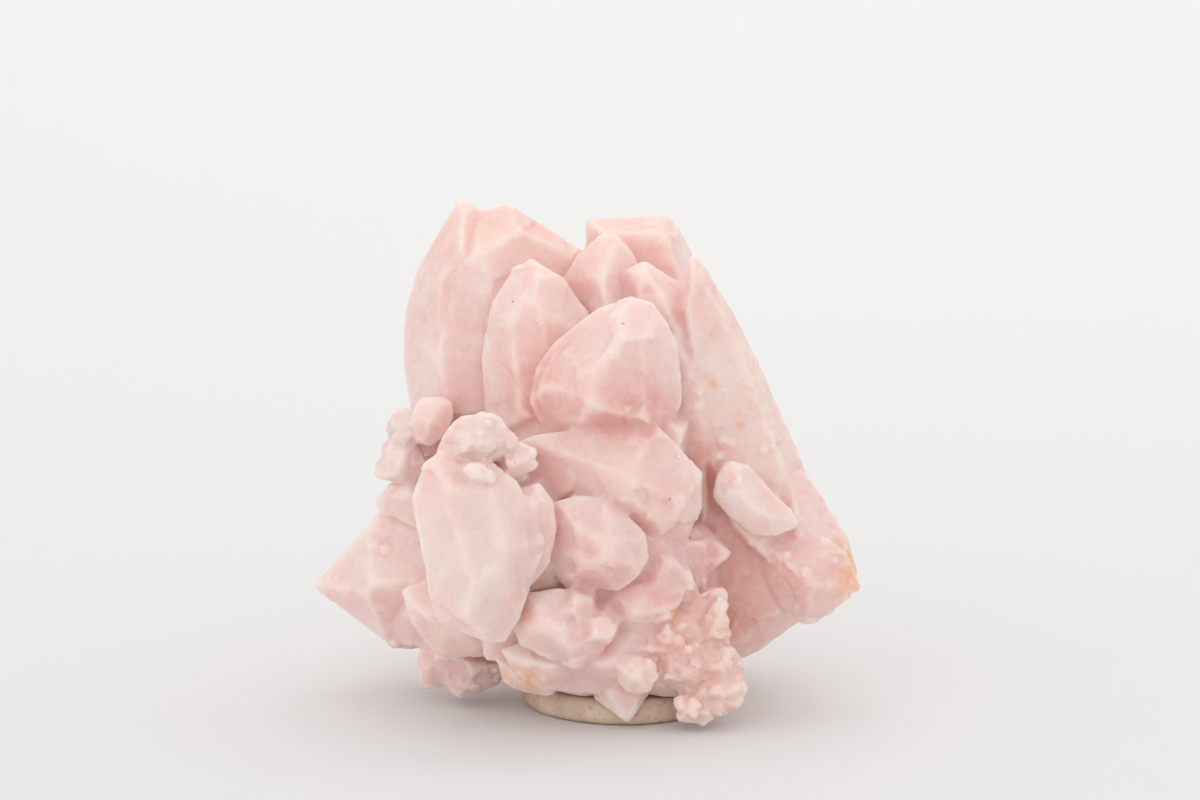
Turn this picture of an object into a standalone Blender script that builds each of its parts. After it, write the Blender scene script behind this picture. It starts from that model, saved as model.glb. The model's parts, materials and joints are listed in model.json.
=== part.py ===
"""A rose quartz crystal cluster standing on a pressed disc of putty.

Lengths are millimetres until the last step, which scales the finished pieces to metres.
X runs to the right of the specimen, Y away from its showing side, Z up, and the origin is
the centre of the putty's underside.
"""

import math
import random

import bmesh
import bpy
from mathutils import Matrix, Vector

# Driving dimensions of the putty disc that the cluster is pressed onto.
PUTTY_FOOT_RADIUS = 13.2
PUTTY_BULGE_RADIUS = 14.3
PUTTY_TOP_RADIUS = 13.7
PUTTY_HEIGHT = 3.5
PUTTY_SIDES = 48
SEAT_GAP = 0.3  # between the flattened underside of the cluster and the putty
SEAT_RADIUS = PUTTY_BULGE_RADIUS + SEAT_GAP
PRESSED_IN = 0.5  # how far the finished cluster sits below the heights its crystals are laid out at

# Quartz ends in faces that each stand at this angle to the long axis of the crystal.
POINT_ANGLE = math.radians(38.2)
RAW_BLOCK = 120.0  # a block this wide is larger than any crystal that is cut from it
GOLDEN_TURN = math.pi * (3 - math.sqrt(5))  # spaces the crystals of a tuft evenly
MILLIMETRE = 0.001  # in metres


def direction(turn, lift):
    """A unit vector. Turn 0 faces the showing side, 90 the right, 180 the back; lift is up from level."""
    turn, lift = math.radians(turn), math.radians(lift)
    level = math.cos(lift)
    return Vector((math.sin(turn) * level, -math.cos(turn) * level, math.sin(lift)))


def cut_crystal(name, middle, planes):
    """A convex crystal: a block about middle, ground down to each (point, outward normal) plane."""
    shape = bmesh.new()
    bmesh.ops.create_cube(shape, size=RAW_BLOCK, matrix=Matrix.Translation(middle))
    for point, normal in planes:
        everything = shape.verts[:] + shape.edges[:] + shape.faces[:]
        cut = bmesh.ops.bisect_plane(
            shape, geom=everything, dist=1e-4, plane_co=point, plane_no=normal, clear_outer=True
        )
        rim = [item for item in cut["geom_cut"] if isinstance(item, bmesh.types.BMEdge)]
        if len(rim) > 2:
            bmesh.ops.contextual_create(shape, geom=rim)
    bmesh.ops.recalc_face_normals(shape, faces=shape.faces)
    mesh = bpy.data.meshes.new(name)
    shape.to_mesh(mesh)
    shape.free()
    mesh.transform(Matrix.Translation((0, 0, -PRESSED_IN)))
    crystal = bpy.data.objects.new(name, mesh)
    crystal.display_type = "WIRE"
    GROWN.objects.link(crystal)
    return crystal


def leaf(name, y, outline, facets, front=32, back=30, lean=0):
    """A crystal seen broadside from the showing side.

    outline holds its (x, z) corners where it is widest, at depth y, and the outline leans back
    by lean degrees. From each side of the outline one face slopes front degrees towards the
    showing side and one slopes back degrees away from it. facets holds (turn, lift, reach) of
    its broad faces, reach being the distance from the outline's centre.
    """
    across = Vector((0, -math.cos(math.radians(lean)), math.sin(math.radians(lean))))
    centre_x = sum(x for x, _ in outline) / len(outline)
    centre_z = sum(z for _, z in outline) / len(outline)
    middle = Vector((centre_x, y, centre_z))
    corners = [Vector((x, y + (z - centre_z) * math.tan(math.radians(lean)), z)) for x, z in outline]
    area = sum(a.x * b.z - b.x * a.z for a, b in zip(corners, corners[1:] + corners[:1]))
    if area < 0:
        corners.reverse()
    planes = []
    for number, (a, b) in enumerate(zip(corners, corners[1:] + corners[:1])):
        outward = (b - a).cross(across).normalized()
        uneven = 7 * math.sin(2.4 * number)
        for slope, side in ((front + uneven, across), (back - uneven, -across)):
            slope = math.radians(slope)
            planes.append((a, outward * math.cos(slope) + side * math.sin(slope)))
    for turn, lift, reach in facets:
        planes.append((middle + direction(turn, lift) * reach, direction(turn, lift)))
    return cut_crystal(name, middle, planes)


def quartz(name, root, tip, width, thickness=None, roll=0, blunt=0.12, taper=2, end_faces=6, seed=1):
    """A six-sided quartz crystal from root to its pointed tip, with slightly uneven faces.

    width and thickness are its sizes across; roll turns it about its length in degrees; blunt
    is how far every second end face is set back, as a share of width.
    """
    chance = random.Random(seed)
    root, tip = Vector(root), Vector(tip)
    thickness = thickness or width
    axis = (tip - root).normalized()
    flat = axis.cross(Vector((0, 1, 0)) if abs(axis.y) < 0.9 else Vector((0, 0, 1))).normalized()
    upright = axis.cross(flat)
    planes = [(root, -axis)]
    lean = math.radians(taper)
    for number in range(6):
        angle = math.radians(roll + 60 * number)
        across = flat * math.cos(angle) + upright * math.sin(angle)
        reach = math.hypot(width / 2 * math.cos(angle), thickness / 2 * math.sin(angle))
        reach *= chance.uniform(0.9, 1.05)
        shoulder = tip - axis * reach / math.tan(POINT_ANGLE)
        planes.append((shoulder + across * reach, across * math.cos(lean) + axis * math.sin(lean)))
        if number % (6 // end_faces) == 0:
            set_back = width * blunt * chance.uniform(0.5, 1) * (number % 2 or 0.1)
            end = across * math.cos(POINT_ANGLE) + axis * math.sin(POINT_ANGLE)
            planes.append((tip - axis * set_back, end))
    return cut_crystal(name, (root + tip) / 2, planes)


def tuft(name, centre, facing, radius, count, sizes, reach, seed, splay=35, end_faces=3):
    """A group of small crystals that stand on a patch about centre and splay out round facing.

    sizes is the range of their widths, and reach is how far their tips stand out of centre.
    """
    chance = random.Random(seed)
    centre, facing = Vector(centre), Vector(facing).normalized()
    aside = facing.orthogonal().normalized()
    other = facing.cross(aside)
    for number in range(count):
        share = math.sqrt((number + 0.5) / count)
        angle = number * GOLDEN_TURN + chance.uniform(-0.4, 0.4)
        outward = aside * math.cos(angle) + other * math.sin(angle)
        lean = math.radians(splay) * share * chance.uniform(0.7, 1.3)
        axis = facing * math.cos(lean) + outward * math.sin(lean)
        width = chance.uniform(*sizes)
        tip = centre + outward * radius * share + axis * reach * chance.uniform(0.75, 1.1)
        root = tip - axis * (reach + 2.2 * width)
        quartz(
            f"{name}_{number}", root, tip, width, width * chance.uniform(0.7, 1.1),
            roll=chance.uniform(0, 60), blunt=0.3, end_faces=end_faces, seed=chance.random(),
        )


bpy.context.scene.unit_settings.system = "METRIC"
for old in list(bpy.data.objects):
    bpy.data.objects.remove(old)

# Every crystal is grown in this hidden collection, and the cluster is the union of them all.
GROWN = bpy.data.collections.new("grown")
GROWN.hide_render = True
bpy.context.scene.collection.children.link(GROWN)

# The tall broad leaves that open upwards at the top of the cluster.
leaf(
    "tall_left_leaf", 11,
    [(-28.8, 36), (-30.4, 47), (-30, 54), (-28, 60.5), (-20.6, 67.6), (-19, 68.3), (-15.8, 68.9), (-5.6, 62.4), (-3, 54), (-4, 34)],
    [(-50, 4, 14.5), (-10, 5, 8.6), (24, 12, 8.4), (180, 0, 11), (150, 30, 17)], front=28,
)
leaf(
    "tall_left_edge", 11,
    [(-29.4, 36), (-31, 47), (-30.6, 54), (-28.6, 60.5), (-23, 69.5), (-22, 69.5), (-20, 68), (-14, 58), (-12, 36)],
    [(-56, 4, 7), (-10, 5, 7.4), (180, 0, 10)], front=28,
)
leaf(
    "second_leaf", 0,
    [(-19, 38), (-19.7, 49), (-18.4, 56.5), (-15.6, 61.2), (-12.6, 62.9), (-8.4, 60.2), (-4.5, 55), (-5, 38)],
    [(-62, 4, 7), (-10, 6, 5), (30, 8, 5.6), (180, 0, 8)], front=38, lean=4,
)
leaf(
    "third_leaf", 6,
    [(-9, 50), (-8.8, 58.5), (-6.4, 62.7), (-3.4, 65.2), (-1, 65.4), (1.2, 63), (3.2, 58.8), (3.4, 48)],
    [(-30, 4, 5.5), (25, 6, 5.5), (180, 0, 7)], front=38,
)
leaf(
    "flat_topped_leaf", 17,
    [(-5.4, 36), (-5.4, 65.5), (-4.6, 66.1), (5.6, 66.5), (7.6, 65.4), (9.4, 62), (12.6, 54), (14, 38)],
    [(-4, 6, 7), (40, 4, 10), (180, 4, 8)], front=16, back=18,
)
leaf(
    "fourth_leaf", 3,
    [(-1.4, 48), (0.2, 61), (3, 62.2), (8.8, 58.4), (12, 54), (13.6, 50), (14, 42), (4, 42)],
    [(-24, 10, 5.6), (30, 18, 5.4), (180, 0, 9)], front=30,
)
leaf(
    "middle_leaf", -7,
    [(-13, 44), (-12.2, 48.8), (-9.6, 52.3), (-3.6, 57), (1.2, 58.6), (4, 57.6), (6, 55), (7.4, 52), (8, 44), (5, 37), (-6, 37), (-11, 40)],
    [(-34, 12, 7.4), (18, 10, 6.4), (52, 6, 8.6), (180, 0, 10), (0, -38, 9.5)], front=38, lean=6,
)

# The broad sloping slab on the right, rough and broken off along its outer edge.
leaf(
    "right_slab", 1,
    [(7, 56), (9, 63.5), (10.6, 62.4), (12.7, 59.2), (15.6, 54.2), (18.9, 47.6), (21.9, 40.8), (24.8, 34), (27.6, 26.8), (29.6, 21), (29, 16), (24, 13), (13, 24), (9.6, 34)],
    [(14, 10, 5), (58, 20, 9), (180, -6, 9), (120, -20, 14)], front=19, back=24,
)
leaf(
    "slab_outer_foot", -1,
    [(20, 30), (22, 34), (24.8, 33.6), (28.8, 27.6), (31.2, 23.8), (32.5, 18.9), (31.2, 16.8), (28.6, 14.8), (24, 14), (20, 22)],
    [(20, 8, 4.6), (60, 14, 4.8), (180, 0, 8)], front=30,
)
leaf(
    "slab_ledge", -2,
    [(7.2, 46), (8.2, 52.4), (9.2, 53.8), (10.8, 51.4), (13, 46), (13.6, 40), (11, 38.6), (9, 40)],
    [(-10, 8, 3.6), (180, 0, 7)], front=44,
)
quartz("slab_bump", (15, 0, 36), (12.8, -7.6, 39.4), 3.6, 3.2, roll=10, blunt=0.5, seed=43)
leaf(
    "slab_tongue", -10,
    [(11.8, 31.6), (12.4, 34.6), (14.2, 36.6), (16.6, 36), (23.4, 29), (24, 27), (20.4, 26), (17.4, 26.2), (14.2, 28.6)],
    [(-20, 20, 3.4), (20, -30, 3.4), (180, 0, 9)], front=48, back=14,
)
leaf(
    "right_foot", -5,
    [(18, 25.4), (22.6, 26.4), (27, 25.4), (30.6, 22.8), (32.5, 18.7), (31, 16.4), (28.8, 14.4), (26.8, 12.9), (24.4, 12.4), (21.2, 15.4), (19.6, 18.6)],
    [(-16, 0, 4.6), (30, 10, 5), (180, 0, 9)], front=46,
)
leaf(
    "slab_flank", -2.4,
    [(3.4, 50.6), (7.6, 54), (12.1, 47.7), (13.5, 35.9), (13.9, 26.1), (11.4, 22.1), (8, 26.1), (6.1, 31.7), (5, 40.1)],
    [(-10, 4, 3.4), (180, 0, 9)], front=34, back=14,
)
leaf(
    "hollow_wall", 1.6,
    [(4, 34), (20, 32), (27, 20), (25.4, 11.8), (18.8, 7.2), (16.6, 6), (8, 5), (2, 14)],
    [(-8, -8, 5), (180, 0, 8)], front=34,
)
quartz("hollow_crystal_left", (20, 8, 14), (17.9, -1.5, 14.9), 3, 2.6, roll=0, blunt=0.3, seed=44)
quartz("hollow_crystal_right", (22, 8, 13), (20, -2, 12.6), 3, 3, roll=30, blunt=0.3, seed=45)

# The long block that points out of the middle.
leaf(
    "middle_block", -12,
    [(-15.4, 38.8), (-12.8, 40.4), (-9.2, 41), (-3.2, 41.9), (2, 42.4), (4.4, 41.8), (7, 39.4), (10.7, 35), (10.6, 30.4), (9, 26.6), (6, 24.6), (3, 25.2), (-10, 30.6), (-12.8, 34.4)],
    [(-24, -2, 5.2), (-6, 22, 5.6), (16, -8, 6.6), (44, 6, 9.6), (180, 0, 12)], front=40,
)
quartz("middle_block_swelling", (2, -4, 38), (8.8, -17.4, 31.6), 12, 10, roll=16, blunt=0.5, seed=46)
leaf(
    "lower_middle_crystal", -17,
    [(-10.4, 25), (-9.8, 32.4), (-6.6, 33.4), (-3, 33), (0.2, 30.8), (3, 28), (3.5, 24.5), (2.2, 22), (-0.8, 19.8), (-8.4, 20.6)],
    [(-14, 6, 4), (30, 14, 3.8), (10, -30, 5), (180, 0, 12)], front=46,
)
leaf(
    "middle_mass", -9,
    [(-15.2, 33.9), (-3.3, 35), (5.9, 30.9), (10.9, 22.6), (9.5, 14.5), (3.5, 10), (-10.8, 9.3), (-15.3, 15.6), (-16.4, 26.7)],
    [(-8, 6, 5.4), (14, -14, 6), (180, 0, 9)], front=34, back=16,
)
leaf(
    "lower_face_right", -13.5,
    [(3.7, 21.6), (8.6, 21.9), (10.1, 19.1), (8.9, 17.5), (5.9, 16.2), (3.2, 17.7)],
    [(24, -8, 2.2), (180, 0, 8)], front=50, back=6,
)
leaf(
    "lower_face_left", -15,
    [(-2, 20), (3.7, 20.7), (8, 18.4), (6.4, 15.3), (2.1, 13.2), (-1.5, 14.6)],
    [(-14, -16, 2.6), (30, 6, 3), (180, 0, 9)], front=50, back=6,
)
quartz("wedge", (0, -4, 23), (15, -10.4, 23.6), 8.4, 8, roll=5, blunt=0.05, seed=3)
quartz("wedge_below", (-2, -6, 24), (10.2, -15, 19.9), 7.4, 7, roll=24, blunt=0.1, seed=9)
quartz("lower_mauve_crystal", (-4, -5, 18), (7.2, -17, 16.4), 8, 7, roll=0, blunt=0.15, seed=10)

# The crystals of the front and lower left.
leaf(
    "front_crystal", -22,
    [(-24.4, 40.4), (-26.8, 38.4), (-28.4, 33.6), (-27.6, 28.4), (-25.8, 18.4), (-24.8, 16.6), (-16, 13), (-14, 16.6), (-12, 22.8), (-10.4, 28), (-14, 36), (-19, 40)],
    [(2, 6, 3.6), (-48, 4, 7.2), (18, -20, 5.4), (180, 0, 13)], front=52,
)
leaf(
    "front_right_crystal", -20,
    [(-16.4, 32), (-14.6, 34.6), (-11.4, 35.6), (-9.4, 33), (-9, 29), (-9.8, 24.6), (-13, 20.6), (-16, 25)],
    [(-6, 12, 4.2), (44, 4, 3.8), (180, 0, 10)], front=46,
)
# The blunt blocks crowded on top of the front crystal.
leaf(
    "front_dome", -20.5,
    [(-25.1, 39.4), (-24.1, 41.9), (-22.9, 43.6), (-21.7, 44.4), (-20.1, 44.8), (-17.3, 45), (-16.3, 44.1), (-15, 42.4), (-14.6, 40.9), (-15.5, 39.3), (-18.2, 37.8), (-21.6, 37.3), (-24.3, 38.1)],
    [(-34, 10, 3.6), (16, 16, 3.6), (56, 8, 4), (180, 0, 9)], front=44, back=10,
)
leaf(
    "front_lobe", -19.5,
    [(-16.7, 40.5), (-14.6, 41), (-12.6, 40.2), (-11.9, 39.5), (-11.9, 37.8), (-12.9, 36.7), (-15.1, 35.3), (-16.6, 35.5), (-17.5, 37.1)],
    [(-14, 18, 2.4), (34, -6, 2.6), (180, 0, 9)], front=44, back=6,
)
leaf(
    "front_lobe_edge", -17.5,
    [(-16.2, 36.2), (-13.4, 36.4), (-12.9, 35.5), (-14, 34.4), (-15.9, 34), (-16.9, 35.1)],
    [(10, 0, 1.6), (180, 0, 8)], front=40, back=6,
)
leaf(
    "front_pale_block", -24.6,
    [(-21.7, 38.3), (-20.8, 39), (-18.8, 39), (-17.4, 37.6), (-17.3, 36.8), (-18.6, 36.3), (-20.7, 36.5)],
    [(-16, 30, 1.3), (20, 0, 1.4), (180, 0, 6)], front=40, back=6,
)
quartz("left_point", (-14, 4, 20), (-44.2, 9, 14.8), 19, 17, roll=0, blunt=0.04, taper=1, seed=2)
# The stepped edge on the left, and the blunt crystal that stands out of it.
leaf(
    "left_edge_upper", 0,
    [(-32.1, 41.1), (-29.8, 41.9), (-28.1, 42), (-26.2, 39.9), (-27.1, 35.7), (-30.7, 34.7), (-32.5, 37.4), (-32.6, 39.5)],
    [(-26, 4, 3), (20, 10, 3.4), (180, 0, 9)], front=36, back=8,
)
leaf(
    "left_edge_lower", -2,
    [(-32.3, 37.9), (-33.4, 35.9), (-34.4, 32.6), (-29.2, 31.3), (-27, 34.4), (-28.6, 38.2)],
    [(-22, -6, 3), (24, 8, 3.2), (180, 0, 9)], front=36, back=8,
)
leaf(
    "left_edge_block", -3,
    [(-32.7, 36.9), (-31, 37.5), (-29.6, 36.5), (-29.9, 34.2), (-31.6, 33.5), (-33, 34.8)],
    [(-10, 20, 2.2), (180, 0, 8)], front=40, back=6,
)
leaf(
    "left_inner_crystal", -3.6,
    [(-29.3, 40.8), (-28.8, 42.9), (-27, 44.2), (-25, 44.2), (-23.5, 43.4), (-23.2, 41.1), (-24.4, 38.7), (-26.5, 37.1), (-28.4, 37.6)],
    [(-24, 10, 3), (20, 20, 3.2), (180, 0, 12)], front=46, back=6,
)
quartz("left_point_below", (-16, 2, 19), (-34.4, 4, 8.4), 12, 11, roll=20, blunt=0.1, seed=7)
quartz("front_root", (-6, 4, 25), (-20.5, -24, 27), 15, 17, roll=20, blunt=0.3, seed=18)
quartz("left_cheek", (-6, 2, 26), (-27, -8, 27), 22, 20, roll=12, blunt=0.3, seed=14)
quartz("left_middle_point", (-18, 4, 31), (-35.4, 1, 28.4), 9.4, 9, roll=10, blunt=0.1, seed=4)
leaf(
    "lower_left_plate", -8,
    [(-30.6, 18.2), (-26.5, 19.8), (-19.7, 16.8), (-17.1, 11.2), (-17.5, 8.9), (-23.6, 8.4), (-25.6, 8.8), (-29.3, 13.3)],
    [(-14, -12, 3), (24, -20, 4), (180, 0, 10)], front=48, back=14,
)
quartz("under_front_crystal", (-10, -6, 22), (-19.4, -13, 8.4), 11, 8, roll=14, seed=8)

# The short spikes that hang down at the lower left, almost to the ground.
quartz("hanging_spike_left", (-20, 2, 15), (-28.4, -2, 2), 6.4, 6, roll=12, seed=11)
leaf(
    "hanging_plate", -3,
    [(-26.8, 8.8), (-26.4, 5.1), (-24.8, 2.9), (-22.8, 1.1), (-21.3, 1.7), (-17, 3.7), (-15.7, 7.8), (-21.3, 10)],
    [(-20, -10, 2.4), (26, -20, 2.8), (0, 70, 12), (180, 0, 8)], front=30, back=10,
)
quartz("hanging_spike_middle", (-17, 3, 15), (-22.6, -3.4, 0.9), 7, 6, roll=40, seed=12)

# The crystals under the middle, which end above the putty or just in front of it.
leaf(
    "bottom_crystal", -19,
    [(-15.6, 16.6), (-14.2, 13), (-10.8, 11.2), (-6.2, 9.4), (-2.4, 12.4), (-2.6, 16), (-4.4, 20), (-8.6, 21), (-13.6, 20.4)],
    [(-14, -14, 3.4), (24, -4, 3.4), (180, 0, 13)], front=46,
)
quartz("bottom_pale_upper", (-6, -14, 18), (-7.6, -24.6, 18.4), 5, 4.4, roll=10, blunt=0.5, seed=51)
quartz("bottom_pale_lower", (-3, -14, 16), (-4.2, -24.4, 14.6), 4.6, 4.2, roll=40, blunt=0.5, seed=52)
leaf(
    "bottom_ledge", -15.5,
    [(-16.8, 11.6), (-15.4, 8.8), (-12.4, 6.4), (-9, 5.6), (-3.3, 5.2), (3, 5.4), (6, 8), (2, 14), (-10, 14)],
    [(-10, -24, 3.6), (24, -20, 4), (180, 0, 12)], front=50,
)
leaf(
    "bottom_rough_lump", -13,
    [(-17.4, 9.6), (-16.6, 6.4), (-15, 5.4), (-12.8, 4.8), (-9.7, 4.4), (-8.5, 6.8), (-9.3, 9), (-12.8, 10.3)],
    [(-20, -10, 2.8), (16, 10, 3.2), (180, 0, 9)], front=44, back=14,
)
quartz("bottom_spike", (-2, -8, 12), (0.6, -16.6, 1), 6.6, 6, roll=20, seed=15)
leaf(
    "lower_right_band", -15,
    [(-0.1, 13.1), (3.5, 14.2), (8, 13.4), (8.9, 11.2), (5.9, 8.9), (1.3, 9.8), (-0.3, 11.4)],
    [(-10, 24, 2.4), (24, 4, 2.6), (180, 0, 9)], front=46, back=8,
)
leaf(
    "lower_right_bed", -12.4,
    [(1, 9.6), (3, 16), (8, 18), (12.6, 16.4), (14.4, 12), (13.4, 5), (8.6, 3.4), (3, 4.6)],
    [(12, 8, 4), (180, 0, 9)], front=40, back=14,
)
leaf(
    "lower_right_small_plate", -13.5,
    [(7.4, 16.4), (10.1, 18.6), (12.1, 19.7), (13.5, 19.7), (14, 18.7), (13.6, 16.6), (12.8, 15.1), (11.7, 14.1), (8.5, 14.5)],
    [(10, 10, 1.9), (-30, 0, 3), (180, 0, 8)], front=50, back=8,
)
leaf(
    "lower_right_lump", -16,
    [(4.1, 14.2), (6.9, 14.7), (8.7, 13.3), (8.4, 11.4), (5.9, 11), (4.1, 12.2)],
    [(6, 16, 1.8), (180, 0, 8)], front=46, back=6,
)
leaf(
    "lower_right_plate", -16,
    [(5.9, 11.4), (7.6, 12.4), (14.5, 12.2), (15.7, 10.8), (16.4, 8.8), (15.5, 7), (10.2, 5.8), (6.4, 7)],
    [(-16, 14, 2.6), (22, 4, 3), (180, 0, 9)], front=50, back=10,
)
leaf(
    "lower_right_corner", -17,
    [(10.4, 8.3), (15.8, 8.2), (16.9, 6.5), (15.5, 4.6), (13.9, 2.8), (12.4, 2.5), (10.7, 4.4)],
    [(14, -6, 2.2), (180, 0, 9)], front=50, back=10,
)
leaf(
    "lower_right_foot", -17.5,
    [(7.1, 5), (10.2, 5.9), (12.5, 4.6), (11.9, 1.9), (9.4, 1.9), (7.4, 2.1)],
    [(-12, -14, 2), (180, 0, 9)], front=50, back=8,
)
leaf(
    "lower_right_knob", -18,
    [(-1.6, 10.8), (-0.1, 11.5), (2.6, 11.3), (4.4, 10.1), (4.6, 8), (3, 5.9), (0.3, 6.1), (-1.1, 8)],
    [(-26, 8, 2.6), (22, 14, 2.6), (180, 0, 9)], front=46, back=8,
)
for number, (x, z, width) in enumerate(
    ((14.2, 12.2, 3), (15.9, 10.6, 3), (16.6, 8.4, 2.8), (17, 5.8, 3), (15.4, 4, 2.8), (13.2, 2.6, 2.8), (8.4, 1.9, 3), (13.6, 19.8, 2), (13.8, 17.4, 2.2))
):
    quartz(f"plate_edge_{number}", (10, -13, 10), (x, -16.8, z), width, 2.4, roll=24 * number, blunt=0.3, seed=70 + number)

# The body that the crystals grew from shows only between them, and reaches down to the seat.
leaf(
    "body", 4, [(-22, 20), (-20, 42), (-8, 52), (6, 50), (12, 38), (10, 24), (7, 7), (-12, 7)],
    [(0, -10, 12), (180, 0, 14)],
)
quartz("seat_block", (-1, 0, 26), (-1, 0.5, -12), 29, 26, roll=15, seed=17)

quartz("finger", (8, -9, 14), (14.6, -17, 14), 2.4, 2, roll=0, blunt=0.2, seed=53)

# Behind, where the photograph does not show it: broad leaves like those in front, with
# smaller crystals round their feet.
leaf(
    "rear_left_leaf", 19,
    [(-23, 24), (-27, 36), (-25.6, 48), (-21, 55.6), (-15, 56.8), (-9, 48), (-8, 26)],
    [(172, 8, 8), (214, 4, 9), (0, 0, 9)], back=38, lean=-8,
)
leaf(
    "rear_middle_leaf", 23,
    [(-13, 20), (-13.6, 34), (-10, 44.6), (-4.6, 50), (0, 49), (5.6, 40), (7, 30), (4, 20)],
    [(188, 10, 7.4), (150, 0, 9), (0, 0, 10)], back=42, lean=-12,
)
leaf(
    "rear_right_leaf", 16,
    [(4, 20), (3, 36), (7, 46), (12, 48), (18.6, 39.6), (22.6, 29), (20, 16)],
    [(166, 6, 7.6), (140, 10, 9), (0, 0, 9)], back=36, lean=-6,
)
quartz("rear_left_level", (-8, 4, 26), (-33, 19, 32), 13, 12, roll=20, seed=64)
quartz("rear_left_low", (-6, 4, 22), (-25, 22, 16), 13, 11, roll=5, seed=67)
quartz("rear_middle_low", (-2, 2, 22), (-7, 27, 14), 14, 10, roll=25, seed=68)
quartz("rear_middle_ridge", (-4, 4, 24), (-15, 29, 26), 10, 9, roll=40, seed=65)
quartz("rear_right_level", (4, 4, 22), (9, 28, 25), 11, 10, roll=40, seed=66)
quartz("rear_right_low", (6, 2, 20), (19, 20, 11), 12, 10, roll=12, seed=69)
quartz("rear_foot", (2, 4, 18), (5, 21, 4.6), 10, 8, roll=33, seed=63)
tuft("rear_tuft", (-2, 27, 20), (0.1, 0.95, 0.1), 5, 8, (5, 7.4), 4, seed=28)
tuft("rear_right_tuft", (22, 12, 20), (0.6, 0.8, -0.1), 5, 8, (5, 7), 4, seed=29)

cluster = bpy.data.objects.new("crystal_cluster", bpy.data.objects["body"].data.copy())
bpy.context.scene.collection.objects.link(cluster)
GROWN.objects.unlink(bpy.data.objects["body"])
union = cluster.modifiers.new("grown together", "BOOLEAN")
union.operation = "UNION"
union.operand_type = "COLLECTION"
union.collection = GROWN
union.solver = "EXACT"

# The underside is ground flat where the cluster sits down into its seat on the putty.
cutter_mesh = bpy.data.meshes.new("seat")
shape = bmesh.new()
bmesh.ops.create_cone(
    shape, cap_ends=True, segments=PUTTY_SIDES, radius1=SEAT_RADIUS, radius2=SEAT_RADIUS, depth=40,
    matrix=Matrix.Translation((0, 0, PUTTY_HEIGHT + SEAT_GAP - 20)),
)
shape.to_mesh(cutter_mesh)
shape.free()
seat = bpy.data.objects.new("seat", cutter_mesh)
seat.hide_render = True
seat.display_type = "WIRE"
bpy.context.scene.collection.objects.link(seat)
cut = cluster.modifiers.new("seat", "BOOLEAN")
cut.operation = "DIFFERENCE"
cut.object = seat
cut.solver = "EXACT"

# The putty disc is turned: a flat foot, a bulged side and a flat top.
putty_mesh = bpy.data.meshes.new("putty_disc")
shape = bmesh.new()
rings = []
for radius, height in (
    (PUTTY_FOOT_RADIUS, 0), (PUTTY_BULGE_RADIUS - 0.3, 0.5), (PUTTY_BULGE_RADIUS, 1.4),
    (PUTTY_BULGE_RADIUS - 0.15, 2.5), (PUTTY_TOP_RADIUS, PUTTY_HEIGHT),
):
    rings.append([
        shape.verts.new((radius * math.cos(turn), radius * math.sin(turn), height))
        for turn in (2 * math.pi * number / PUTTY_SIDES for number in range(PUTTY_SIDES))
    ])
for lower, upper in zip(rings, rings[1:]):
    for number in range(PUTTY_SIDES):
        after = (number + 1) % PUTTY_SIDES
        shape.faces.new((lower[number], lower[after], upper[after], upper[number]))
shape.faces.new(rings[0])
shape.faces.new(rings[-1])
bmesh.ops.recalc_face_normals(shape, faces=shape.faces)
shape.to_mesh(putty_mesh)
shape.free()
putty = bpy.data.objects.new("putty_disc", putty_mesh)
bpy.context.scene.collection.objects.link(putty)


def fill_pockets(mesh):
    """Keep only the outer skin, so that the pockets closed in between crystals become solid."""
    shape = bmesh.new()
    shape.from_mesh(mesh)
    unseen = set(shape.verts)
    skins = []
    while unseen:
        skin = {unseen.pop()}
        edge_of_skin = list(skin)
        while edge_of_skin:
            for edge in edge_of_skin.pop().link_edges:
                for vertex in edge.verts:
                    if vertex in unseen:
                        unseen.remove(vertex)
                        skin.add(vertex)
                        edge_of_skin.append(vertex)
        skins.append(skin)
    outer = max(skins, key=lambda skin: max(v.co.x for v in skin) - min(v.co.x for v in skin))
    bmesh.ops.delete(shape, geom=[v for skin in skins if skin is not outer for v in skin], context="VERTS")
    shape.to_mesh(mesh)
    shape.free()


def finish(solid, material_name, colour, roughness):
    """Scale a finished piece to metres and give it its plain material."""
    depsgraph = bpy.context.evaluated_depsgraph_get()
    mesh = bpy.data.meshes.new_from_object(solid.evaluated_get(depsgraph))
    solid.modifiers.clear()
    solid.data = mesh
    fill_pockets(mesh)
    mesh.transform(Matrix.Scale(MILLIMETRE, 4))
    material = bpy.data.materials.new(material_name)
    material.use_nodes = True
    shader = material.node_tree.nodes["Principled BSDF"]
    shader.inputs["Base Color"].default_value = (*colour, 1)
    shader.inputs["Roughness"].default_value = roughness
    mesh.materials.clear()
    mesh.materials.append(material)


finish(cluster, "rose_quartz", (0.80, 0.55, 0.52), 0.45)
finish(putty, "mounting_putty", (0.72, 0.66, 0.55), 0.8)
for helper in list(GROWN.objects) + [seat]:
    bpy.data.objects.remove(helper)

for polygon in putty.data.polygons:
    polygon.use_smooth = True
putty.data.set_sharp_from_angle(angle=math.radians(40))
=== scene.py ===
"""A cluster of rose quartz crystals, grown together, standing on a pressed disc of putty."""

import json
import math

import bmesh
import bpy
import numpy as np
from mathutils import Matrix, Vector
from mathutils.bvhtree import BVHTree

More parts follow.
